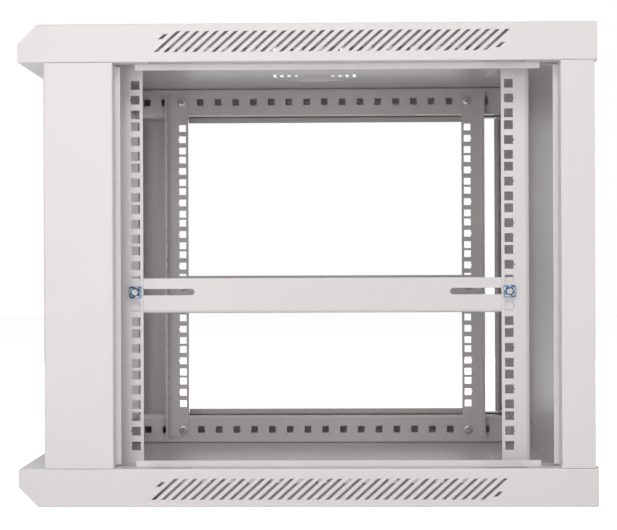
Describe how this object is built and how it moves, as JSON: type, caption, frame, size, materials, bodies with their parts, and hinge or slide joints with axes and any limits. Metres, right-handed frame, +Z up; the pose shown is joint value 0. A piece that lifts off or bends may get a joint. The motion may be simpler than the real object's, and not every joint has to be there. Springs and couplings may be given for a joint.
{
  "type": "wall mount rack cabinet",
  "caption": "Open frame of a low wall mount rack cabinet: folded steel covers with slanted vents, front columns, rear panel, rack rails with square holes and slotted support rails.",
  "frame": {"origin": "middle of the base, at the underside of the bottom cover", "axes": "+X to the right of a person who faces the cabinet's front, +Y to the back and the wall, +Z up"},
  "size_m": [0.6, 0.6, 0.501],
  "materials": {
    "powder_coated_steel": "light grey powder coat, fine texture, satin",
    "zinc_plated_steel": "bright zinc plated",
    "blue_passivated_steel": "zinc plated, blue passivated spring steel"
  },
  "bodies": {
    "root": {"top_cover": "powder_coated_steel", "bottom_cover": "powder_coated_steel", "rear_panel": "powder_coated_steel", "front_column_right": "powder_coated_steel", "front_column_left": "powder_coated_steel", "depth_bar_top_right": "powder_coated_steel", "depth_bar_top_left": "powder_coated_steel", "depth_bar_bottom_right": "powder_coated_steel", "depth_bar_bottom_left": "powder_coated_steel", "rail_front_right": "powder_coated_steel", "rail_front_left": "powder_coated_steel", "rail_rear_right": "powder_coated_steel", "rail_rear_left": "powder_coated_steel", "support_rail_right": "powder_coated_steel", "support_rail_left": "powder_coated_steel", "rail_screws": "zinc_plated_steel", "support_screws": "zinc_plated_steel", "support_nuts": "zinc_plated_steel", "rail_cage_nuts": "blue_passivated_steel", "support_nut_cages": "blue_passivated_steel"}
  },
  "joints": []
}
